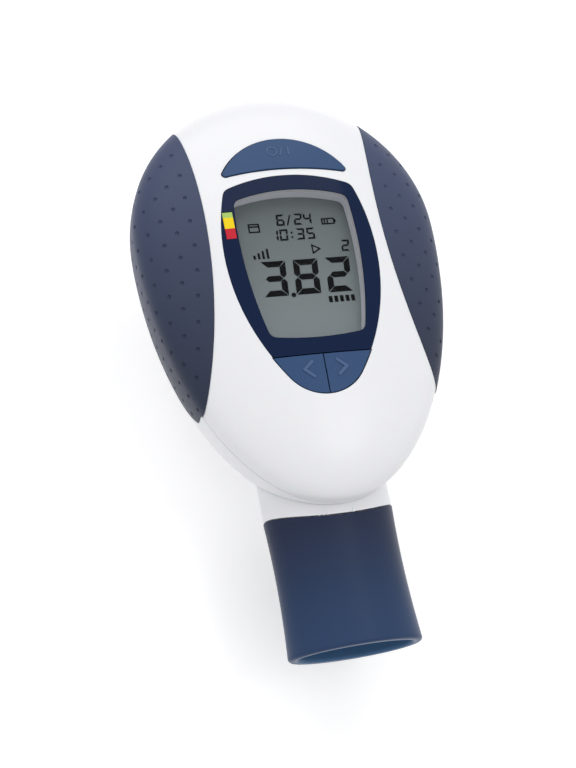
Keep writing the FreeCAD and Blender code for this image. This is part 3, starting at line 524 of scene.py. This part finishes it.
class FlowMeterFinishes(bpy.types.PropertyGroup):
    """Colours and gloss of the meter's mouldings."""
    shell_color: bpy.props.FloatVectorProperty(
        name="Case", description="Colour of the white case and of the tube",
        subtype="COLOR", size=3, default=(0.87, 0.87, 0.90), min=0, max=1)
    shell_roughness: bpy.props.FloatProperty(
        name="Case Roughness", description="Roughness of the white case",
        subtype="FACTOR", default=0.30, min=0, max=1)
    grip_color: bpy.props.FloatVectorProperty(
        name="Grips", description="Colour of the soft grips",
        subtype="COLOR", size=3, default=(0.038, 0.051, 0.101), min=0, max=1)
    bezel_color: bpy.props.FloatVectorProperty(
        name="Bezel", description="Colour of the glossy display panel",
        subtype="COLOR", size=3, default=(0.005, 0.015, 0.052), min=0, max=1)
    key_color: bpy.props.FloatVectorProperty(
        name="Keys", description="Colour of the keys and of the power button",
        subtype="COLOR", size=3, default=(0.030, 0.074, 0.178), min=0, max=1)
    mouth_color: bpy.props.FloatVectorProperty(
        name="Mouthpiece", description="Colour of the mouthpiece",
        subtype="COLOR", size=3, default=(0.015, 0.024, 0.060), min=0, max=1)
    # Painted light: the mouthpiece's colour near the lips, lighter and bluer as if lit through its
    # thin wall
    mouth_painted_glow: bpy.props.FloatVectorProperty(
        name="Mouthpiece End",
        description="Colour of the mouthpiece near the lips, where its wall is thin",
        subtype="COLOR", size=3, default=(0.022, 0.050, 0.122), min=0, max=1)
    mouth_inner: bpy.props.FloatVectorProperty(
        name="Mouthpiece Inside",
        description="Colour of light that comes through the mouthpiece's wall",
        subtype="COLOR", size=3, default=(0.040, 0.108, 0.224), min=0, max=1)
    lcd_color: bpy.props.FloatVectorProperty(
        name="Display", description="Colour of the display's ground",
        subtype="COLOR", size=3, default=(0.150, 0.168, 0.175), min=0, max=1)


class FlowMeterDisplay(bpy.types.PropertyGroup):
    """What the display shows, and how large."""
    reading: bpy.props.StringProperty(
        name="Reading", description="Large numerals, with one point in them", default="3.82")
    upper_row: bpy.props.StringProperty(
        name="Upper Row", description="Three small numerals at the top", default="624")
    lower_row: bpy.props.StringProperty(
        name="Lower Row", description="Four small numerals under them", default="1035")
    count: bpy.props.StringProperty(
        name="Count", description="One small numeral at the right", default="2")
    large_height: bpy.props.FloatProperty(
        name="Large Height", description="Height of the large numerals",
        unit="LENGTH", default=9.4 * MM, min=1 * MM)
    small_height: bpy.props.FloatProperty(
        name="Small Height", description="Height of the small numerals",
        unit="LENGTH", default=3.1 * MM, min=0.5 * MM)
    lean: bpy.props.FloatProperty(
        name="Lean", description="How far the upright bars lean to the right",
        subtype="ANGLE", default=math.radians(4.5), min=0, max=0.5)


class FlowMeterGrips(bpy.types.PropertyGroup):
    """Dimples in the soft grips."""
    dimple_radius: bpy.props.FloatProperty(
        name="Dimple Radius", description="Radius of the ball that each dimple is cut with",
        unit="LENGTH", default=0.60 * MM, min=0.1 * MM)
    dimple_lift: bpy.props.FloatProperty(
        name="Dimple Lift", description="Height of that ball's middle over the surface",
        unit="LENGTH", default=0.20 * MM, min=0)
    pitch: bpy.props.FloatProperty(
        name="Pitch", description="From one dimple to the next along a column",
        unit="LENGTH", default=6.5 * MM, min=1 * MM)
    column_gap: bpy.props.FloatProperty(
        name="Column Gap", description="From one column to the next round the case",
        unit="LENGTH", default=3.6 * MM, min=1 * MM)
    column_shift: bpy.props.FloatProperty(
        name="Column Shift", description="How far each column starts nearer the head than the last",
        unit="LENGTH", default=3.85 * MM, min=0)
    columns: bpy.props.IntProperty(
        name="Columns", description="Dimple columns in each grip", default=10, min=1, max=14)


class FlowMeterStudio(bpy.types.PropertyGroup):
    """Light, floor and lens."""
    room: bpy.props.FloatProperty(
        name="Room Light", description="Strength of the even light all round",
        default=0.74, min=0)
    key_power: bpy.props.FloatProperty(
        name="Key Light", description="Power of the wide light over the head",
        unit="POWER", default=4.4, min=0)
    fill_power: bpy.props.FloatProperty(
        name="Fill Light", description="Power of the light at the right of the foot",
        unit="POWER", default=0.22, min=0)
    top_power: bpy.props.FloatProperty(
        name="Top Light", description="Power of the small light that the satin parts mirror",
        unit="POWER", default=0.6, min=0)
    floor_lift: bpy.props.FloatProperty(
        name="Floor Lift", description="How much lighter the camera sees the floor",
        default=0.35, min=0)
    floor_color: bpy.props.FloatVectorProperty(
        name="Floor", description="Colour of the floor",
        subtype="COLOR", size=3, default=(0.90, 0.90, 0.905), min=0, max=1)
    lens: bpy.props.FloatProperty(
        name="Lens", description="Focal length of the camera",
        unit="CAMERA", default=70.27, min=10)


MATERIALS = {}
# Finishes of one colour: name, colour, roughness, and what else differs
PLAIN_FINISHES = {
    "lcd_ink": ("Display Numerals", (0.004, 0.004, 0.005), 0.6, {"Specular_IOR_Level": 0.05}),
    "grey_frame": ("Grey Frame", (0.64, 0.64, 0.69), 0.5, {"grain": 0.00001}),
    "elastomer": ("Elastomer", (0.70, 0.30, 0.38), 0.6, {}),
    "circuit_board": ("Circuit Board", (0.012, 0.11, 0.035), 0.35, {}),
    "chip_black": ("Chip Black", (0.012, 0.012, 0.014), 0.5, {"grain": 0.00001}),
    "steel": ("Steel", (0.60, 0.60, 0.62), 0.3, {"Metallic": 1.0}),
    "key_sign": ("Key Sign", (0.058, 0.112, 0.24), 0.40, {"Specular_IOR_Level": 0.3}),
    "seal_rubber": ("Seal Rubber", (0.02, 0.02, 0.02), 0.6, {}),
    "jewel": ("Jewel", (0.45, 0.02, 0.08), 0.08, {"Coat_Weight": 0.6}),
    "swirler_grey": ("Swirler Grey", (0.42, 0.44, 0.47), 0.42, {"grain": 0.000008}),
    "cell_can": ("Cell Jacket", (0.02, 0.10, 0.22), 0.28, {"Metallic": 0.3}),
    "contact_metal": ("Contact Metal", (0.66, 0.62, 0.52), 0.28, {"Metallic": 1.0}),
    "lead_red": ("Lead Jacket", (0.42, 0.015, 0.015), 0.45, {}),
}


def finish_of(slot):
    """The material of a slot; all are made when the first is asked for."""
    if not MATERIALS:
        make_materials()
    return MATERIALS[slot]


def make_materials():
    look = bpy.context.scene.flow_meter_finishes
    for slot, (name, color, roughness, more) in PLAIN_FINISHES.items():
        MATERIALS[slot] = surface(name, color, roughness, **more)
    MATERIALS["white_shell"] = surface(
        "White Plastic", look.shell_color, look.shell_roughness, grain=0.000004, grain_scale=3000,
        Coat_Weight=0.10, Coat_Roughness=0.12, Subsurface_Weight=0.08, Subsurface_Scale=0.002)
    # Painted light: the grips' colour is lighter toward the head, where the key light stands, and
    # darker toward the foot
    MATERIALS["grip_rubber"] = painted_light_fade(
        surface("Grip Rubber", look.grip_color, 0.44, grain=0.000014, grain_scale=4200,
                Specular_IOR_Level=0.24),
        GRIP_SPAN, look.grip_color, GRIP_PAINTED_LIGHT_TONES)
    MATERIALS["navy_gloss"] = surface(
        "Navy Gloss", look.bezel_color, 0.07, drift=0.05, Specular_IOR_Level=0.09)
    MATERIALS["clear_window"] = clear_cover(
        "Clear Window", (0.98, 0.99, 0.99), 1.13, (0.50, 0.50, 0.53))
    MATERIALS["zone_label"] = zone_finish()
    # Painted shade and light: the display ground is darker toward the head end of its recess and
    # lighter toward the foot
    MATERIALS["lcd_glass"] = painted_light_fade(
        surface("Display Ground", look.lcd_color, 0.55, drift=0.0, Specular_IOR_Level=0.2),
        DISPLAY_SPAN, look.lcd_color, DISPLAY_PAINTED_SHADE_TONES)
    MATERIALS["blue_key"] = surface(
        "Blue Key", look.key_color, 0.34, grain=0.000006, grain_scale=3600,
        Specular_IOR_Level=0.2)
    MATERIALS["mouth_navy"] = mouth_finish(look)


def mouth_finish(look):
    """Satin navy outside, with painted light that makes it lighter and bluer toward the lips;
    inside the oval wall the colour is bluer, painted light as if coming through it.
    """
    material = surface("Mouthpiece Navy", look.mouth_color, 0.36, grain=0.000008,
                       grain_scale=3000, Specular_IOR_Level=0.18)
    tree = material.node_tree
    # Painted light: lighter and bluer toward the lip end, the plain colour toward the neck
    outer = faded(tree, MOUTH_SPAN, look.mouth_painted_glow, look.mouth_color)
    inner = tree.nodes.new("ShaderNodeRGB")
    inner.outputs["Color"].default_value = (*look.mouth_inner, 1.0)
    oval = tree.nodes.new("ShaderNodeMapping")
    oval.inputs["Location"].default_value = (0, 0, -AXIS_Z / MOUTH_HALF_HEIGHT)
    oval.inputs["Scale"].default_value = (1 / MOUTH_HALF_WIDTH, 0, 1 / MOUTH_HALF_HEIGHT)
    reach = tree.nodes.new("ShaderNodeVectorMath")
    reach.operation = "LENGTH"
    inside = tree.nodes.new("ShaderNodeMapRange")
    inside.inputs["From Min"].default_value = OUTER_SHARE
    inside.inputs["From Max"].default_value = INNER_SHARE
    tree.links.new(own_place(tree), oval.inputs["Vector"])
    tree.links.new(oval.outputs["Vector"], reach.inputs[0])
    tree.links.new(reach.outputs["Value"], inside.inputs["Value"])
    color = mix_colors(tree, inside.outputs["Result"], outer, inner.outputs["Color"])
    return paint(material, color)


class FLOWMETER_OT_finishes(bpy.types.Operator):
    """Give every construction node the finish of its slot"""
    bl_idname = "flowmeter.finishes"
    bl_label = "Finishes"

    def execute(self, context):
        for part in frame["record"]["subparts"]:
            for holder in nodes[part["node"]].material_slots:
                holder.material = finish_of(part["material_slot"])
        return {"FINISHED"}


class FLOWMETER_OT_grips(bpy.types.Operator):
    """Cut rows of round dimples into both soft grips"""
    bl_idname = "flowmeter.grips"
    bl_label = "Grips"

    def execute(self, context):
        look = context.scene.flow_meter_grips
        for side, node in ((-1, "left_grip"), (1, "right_grip")):
            dimple(context, side, node, look)
        return {"FINISHED"}


def dimple(context, side, node, look):
    """Copies a grip, cuts the dimples into the copy, and puts it in the grip's place."""
    source = nodes[node]
    places = dimple_places(source, side, look)
    if len(places) < LEAST_DIMPLES:
        raise RuntimeError("too few dimples on " + node)
    cover = bpy.data.objects.new(node + "_dimpled", source.data.copy())
    context.scene.collection.objects.link(cover)
    clear()
    bpy.ops.mesh.primitive_uv_sphere_add(segments=14, ring_count=8, radius=look.dimple_radius)
    ball = context.active_object
    balls = [copy_at(ball, Matrix.Translation(place)) for place in places]
    discard(ball)
    cutter = join(balls)
    apply_modifier(cover, "BOOLEAN", object=cutter, operation="DIFFERENCE", solver="EXACT")
    discard(cutter)
    settle(cover, node + "_dimpled", "housing", finish_of("grip_rubber"),
           angle=32)
    keep_shading(cover, source)
    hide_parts(node)


def fine_place(vertex):
    return tuple(round(part * MICROMETRES) for part in vertex.co)


def keep_shading(cover, source):
    """Shades the rims of the dimples as the smooth grip was, so that nothing shows round them."""
    kept = cover.vertex_groups.new(name="rims")
    old = {fine_place(vertex) for vertex in source.data.vertices}
    rims = []
    for vertex in cover.data.vertices:
        near = source.closest_point_on_mesh(vertex.co)[1]
        if (near - vertex.co).length < ON_SURFACE and fine_place(vertex) not in old:
            rims.append(vertex.index)
    kept.add(rims, 1.0, "REPLACE")
    apply_modifier(cover, "DATA_TRANSFER", object=source, use_loop_data=True,
                   data_types_loops={"CUSTOM_NORMAL"}, loop_mapping="POLYINTERP_NEAREST",
                   vertex_group=kept.name)


def dimple_places(grip, side, look):
    """Columns of dimples that follow the grip's front edge, each shifted from the last."""
    low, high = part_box(grip["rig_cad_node"])
    places = []
    reach = int(ROW_REACH / look.pitch)
    for column in range(look.columns):
        distance = look.column_gap * (column + FIRST_COLUMN)
        for row in range(-reach, reach):
            y = FIRST_ROW_Y + look.pitch * row + look.column_shift * column
            if not low.y < y < high.y:
                continue
            found = place_round(grip, side, y, distance)
            if found and has_margin(grip, *found):
                spot = found[0] + found[1] * look.dimple_lift
                if all((spot - other).length > look.column_gap for other in places):
                    places.append(spot)
    return places


def place_round(grip, side, y, distance):
    """Point and normal on a grip, at a distance round the case from its front edge."""
    heart = Vector((side * HEART_X, y, HEART_Z))
    run = 0.0
    last = None
    for step in range(ANGLE_COUNT):
        angle = math.radians(FIRST_ANGLE - step * ANGLE_STEP)
        out = Vector((side * math.cos(angle), 0, math.sin(angle)))
        hit, place, normal, _ = grip.ray_cast(heart + out * RAY_START, -out)
        if hit and (place - heart).dot(out) > 0:
            if last is not None:
                run += (place - last).length
            last = place
            if run >= distance:
                return place, normal
    return None


def has_margin(grip, place, normal):
    """Whether the grip goes on round a place on all sides, so that no dimple meets its edge."""
    along = normal.cross(Vector((0, 1, 0))).normalized()
    beside = normal.cross(along)
    for shift in (along, -along, beside, -beside):
        start = place + shift * MARGIN + normal * MARGIN_LIFT
        hit, near, facing, _ = grip.ray_cast(start, -normal)
        if not hit or (near - start).length > MARGIN_DEPTH or facing.dot(normal) < MARGIN_FACING:
            return False
    return True


class FLOWMETER_OT_display(bpy.types.Operator):
    """Lay the numerals and small signs on the display"""
    bl_idname = "flowmeter.display"
    bl_label = "Display"

    def execute(self, context):
        look = context.scene.flow_meter_display
        parts = []
        tall = look.large_height
        for index, sign in enumerate(look.reading.replace(".", "")):
            parts += numeral(sign, (LARGE_X + LARGE_STEP * index) * MM, LARGE_Y * MM,
                             tall * LARGE_WIDTH, tall, tall * LARGE_STROKE, look.lean)
        parts.append(dot(*POINT, sides=24))
        small = look.small_height
        spots = [(sign, x, UPPER_Y) for sign, x in zip(look.upper_row, UPPER_XS)]
        spots += [(sign, x, LOWER_Y) for sign, x in zip(look.lower_row, LOWER_XS)]
        spots.append((look.count, *COUNT_PLACE))
        for sign, x, y in spots:
            parts += numeral(sign, x * MM, y * MM, small * SMALL_WIDTH, small,
                             small * SMALL_STROKE, look.lean)
        parts += [dot(*place, sides=12) for place in COLON]
        parts.append(stroke_between(*SLASH))
        parts += small_signs()
        settle(join(parts), "display_numerals", "housing", finish_of("lcd_ink"),
               angle=20)
        return {"FINISHED"}


def small_signs():
    """Plain signs: a leaf with a head line, a cell, a pointer, rising bars and a row of squares."""
    parts = []
    for left, low, right, high in SIGN_BOXES:
        corners = [(left, low), (right, low), (right, high), (left, high)]
        parts += [stroke_between(start, end)
                  for start, end in zip(corners, corners[1:] + corners[:1])]
    parts += [stroke_between(start, end) for start, end in SIGN_STROKES]
    parts += [stroke_between(start, end, RISING_BAR_WIDTH) for start, end in RISING_BARS]
    parts += [stroke_between(start, end, SQUARE_WIDTH) for start, end in SQUARES]
    return parts


class FLOWMETER_OT_signs(bpy.types.Operator):
    """Raise the on and off sign on the power button and the arrows on the keys"""
    bl_idname = "flowmeter.signs"
    bl_label = "Signs"

    def execute(self, context):
        power_sign()
        arrow(-1, "left_key")
        arrow(1, "right_key")
        return {"FINISHED"}


def strip(start, end, width, mitre=0.0):
    """Thin flat strip between two points of the plan; a mitre slants its start."""
    clear()
    bpy.ops.mesh.primitive_grid_add(x_subdivisions=14, y_subdivisions=4, size=1)
    obj = bpy.context.active_object
    start = Vector(start)
    run = Vector(end) - start
    across = Vector((-run.y, run.x)).normalized() * width
    for vertex in obj.data.vertices:
        along = vertex.co.x + 0.5
        slant = mitre * vertex.co.y * width / run.length * (1 - along)
        spot = start + run * (along + slant) + across * vertex.co.y
        vertex.co = (spot.x, spot.y, OVER_ALL)
    return obj


def ring(x, y, radius, width):
    """Thin flat ring in the plan."""
    clear()
    bpy.ops.mesh.primitive_circle_add(
        vertices=48, radius=radius + width / 2, fill_type="NGON", location=(x, y, OVER_ALL))
    obj = bpy.context.active_object
    bpy.ops.object.mode_set(mode="EDIT")
    bpy.ops.mesh.select_all(action="SELECT")
    bpy.ops.mesh.inset(thickness=width)
    bpy.ops.mesh.delete(type="FACE")
    bpy.ops.object.mode_set(mode="OBJECT")
    bpy.ops.object.transform_apply(location=True, rotation=True, scale=True)
    return obj


def lay_on(sheet, node, rise):
    """Lets a flat sheet down onto a node, and gives it a raised, rounded thickness there."""
    apply_modifier(sheet, "SHRINKWRAP", target=nodes[node], wrap_method="PROJECT",
                   use_project_z=True, use_negative_direction=True,
                   use_positive_direction=False, offset=-SINK)
    apply_modifier(sheet, "SOLIDIFY", thickness=rise + SINK, offset=1)
    apply_modifier(sheet, "BEVEL", width=rise * BEVEL_SHARE, segments=2, limit_method="ANGLE")
    return sheet


def power_sign():
    """Ring, slash and bar, as plain signs of off and on."""
    low, high = POWER_SIGN_Y - POWER_SIGN_HALF, POWER_SIGN_Y + POWER_SIGN_HALF
    parts = [
        ring(RING_X, POWER_SIGN_Y, RING_RADIUS, THIN_LINE),
        strip((SLASH_XS[0], low), (SLASH_XS[1], high), THIN_LINE),
        strip((BAR_X, low + BAR_SHORTER), (BAR_X, high - BAR_SHORTER), BAR_LINE),
    ]
    signs = [lay_on(part, "power_button", POWER_SIGN_RISE) for part in parts]
    settle(join(signs), "power_sign", "power_button", finish_of("key_sign"))


def arrow(side, node):
    """Raised arrow head on a key, two strips that meet in a mitre."""
    tip = Vector((side * ARROW_TIP_X, ARROW_Y))
    arms = []
    for up in (1, -1):
        end = Vector((side * ARROW_BACK_X, ARROW_Y + up * ARROW_HALF))
        run = end - tip
        arms.append(strip(tip, end, ARROW_LINE, -run.x / run.y))
    head = join(arms)
    bpy.ops.object.mode_set(mode="EDIT")
    bpy.ops.mesh.select_all(action="SELECT")
    bpy.ops.mesh.remove_doubles(threshold=MERGED_WITHIN)
    bpy.ops.mesh.normals_make_consistent(inside=False)
    bpy.ops.object.mode_set(mode="OBJECT")
    lay_on(head, node, ARROW_RISE)
    settle(head, node + "_arrow", node, finish_of("key_sign"))


class FLOWMETER_OT_neck(bpy.types.Operator):
    """Raise the small moulded marks on the neck, beside the mouthpiece's edge"""
    bl_idname = "flowmeter.neck"
    bl_label = "Neck Marks"

    def execute(self, context):
        low, high = NECK_MARK_Y - NECK_MARK_HALF, NECK_MARK_Y + NECK_MARK_HALF
        strips = [strip((x, low), (x, high), NECK_MARK_LINE) for x in NECK_MARK_XS]
        marks = [lay_on(mark, "measuring_tube", NECK_MARK_RISE) for mark in strips]
        settle(join(marks), "neck_marks", "tube", finish_of("white_shell"))
        return {"FINISHED"}


class FLOWMETER_OT_studio(bpy.types.Operator):
    """Set up the floor, the lights and the camera"""
    bl_idname = "flowmeter.studio"
    bl_label = "Studio"

    def execute(self, context):
        look = context.scene.flow_meter_studio
        clear()
        bpy.ops.mesh.primitive_plane_add(size=FLOOR_SIZE, location=(0, 0, -FLOOR_DROP))
        floor = context.active_object
        floor.name = "floor"
        floor.data.materials.append(floor_finish(look))
        world = bpy.data.worlds.new(PREFIX + "Room")
        world.use_nodes = True
        back = world.node_tree.nodes["Background"]
        back.inputs["Color"].default_value = (1.0, 1.0, 1.0, 1.0)
        seen = seen_value(world.node_tree, look.room, 1.0)
        world.node_tree.links.new(seen, back.inputs["Strength"])
        context.scene.world = world
        powers = (look.key_power, look.fill_power, look.top_power)
        for power, (name, lamp) in zip(powers, LAMPS.items()):
            soft_box(name, power, *lamp)
        aim_camera(context, look.lens)
        context.scene.view_settings.view_transform = "Standard"
        return {"FINISHED"}


def seen_value(tree, plain, seen):
    """A value that changes where the camera, or a mirror or clear piece, sees the thing itself."""
    ray = tree.nodes.new("ShaderNodeLightPath")
    total = math_node(tree, "MAXIMUM", ray.outputs["Is Camera Ray"], ray.outputs["Is Glossy Ray"])
    total = math_node(tree, "MAXIMUM", total, ray.outputs["Is Transmission Ray"])
    spread = tree.nodes.new("ShaderNodeMapRange")
    spread.inputs["To Min"].default_value = plain
    spread.inputs["To Max"].default_value = seen
    tree.links.new(total, spread.inputs["Value"])
    return spread.outputs["Result"]


def floor_finish(look):
    """Pale floor that is seen a little lighter, so that it is white and keeps the shadow."""
    material = surface("Floor", look.floor_color, 0.8, drift=0.0, Specular_IOR_Level=0.1)
    tree = material.node_tree
    shader = tree.nodes["Principled BSDF"]
    shader.inputs["Emission Color"].default_value = (1.0, 1.0, 1.0, 1.0)
    tree.links.new(seen_value(tree, 0.0, look.floor_lift), shader.inputs["Emission Strength"])
    return material


def soft_box(name, power, place, width, depth):
    data = bpy.data.lights.new(name, "AREA")
    data.energy = power
    data.shape = "RECTANGLE"
    data.size = width
    data.size_y = depth
    lamp = bpy.data.objects.new(name, data)
    lamp.location = place
    ahead = Vector(LIT_POINT) - Vector(place)
    lamp.rotation_euler = ahead.to_track_quat("-Z", "Y").to_euler()
    bpy.context.scene.collection.objects.link(lamp)


def aim_camera(context, lens):
    """Camera where the photograph was taken from."""
    data = bpy.data.cameras.new("camera")
    data.lens = lens
    data.sensor_width = SENSOR_WIDTH
    data.clip_start = NEAREST_SEEN
    camera = bpy.data.objects.new("camera", data)
    columns = (Vector(CAMERA_RIGHT), Vector(CAMERA_UP), -Vector(CAMERA_AHEAD))
    axes = Matrix(columns).transposed().to_4x4()
    camera.matrix_world = Matrix.Translation(CAMERA_PLACE) @ axes
    context.scene.collection.objects.link(camera)
    context.scene.camera = camera


SETTINGS = {
    "flow_meter_finishes": FlowMeterFinishes,
    "flow_meter_display": FlowMeterDisplay,
    "flow_meter_grips": FlowMeterGrips,
    "flow_meter_studio": FlowMeterStudio,
}
STEPS = (FLOWMETER_OT_studio, FLOWMETER_OT_finishes, FLOWMETER_OT_grips, FLOWMETER_OT_display,
         FLOWMETER_OT_signs, FLOWMETER_OT_neck)


class FLOWMETER_PT_panel(bpy.types.Panel):
    """Steps and settings of the flow meter's looks"""
    bl_idname = "FLOWMETER_PT_panel"
    bl_label = "Flow Meter"
    bl_space_type = "VIEW_3D"
    bl_region_type = "UI"
    bl_category = "Flow Meter"

    def draw(self, context):
        for step in STEPS:
            self.layout.operator(step.bl_idname)
        for key in SETTINGS:
            box = self.layout.box()
            group = getattr(context.scene, key)
            for name in group.__annotations__:
                box.prop(group, name)


def register():
    for group in SETTINGS.values():
        bpy.utils.register_class(group)
    for key, group in SETTINGS.items():
        setattr(bpy.types.Scene, key, bpy.props.PointerProperty(type=group))
    for item in (*STEPS, FLOWMETER_PT_panel):
        bpy.utils.register_class(item)


def unregister():
    for item in (FLOWMETER_PT_panel, *reversed(STEPS)):
        bpy.utils.unregister_class(item)
    for key in SETTINGS:
        delattr(bpy.types.Scene, key)
    for group in SETTINGS.values():
        bpy.utils.unregister_class(group)


def main():
    register()
    bpy.ops.flowmeter.studio()
    bpy.ops.flowmeter.finishes()
    bpy.ops.flowmeter.grips()
    bpy.ops.flowmeter.display()
    bpy.ops.flowmeter.signs()
    bpy.ops.flowmeter.neck()


if __name__ == "__main__":
    main()
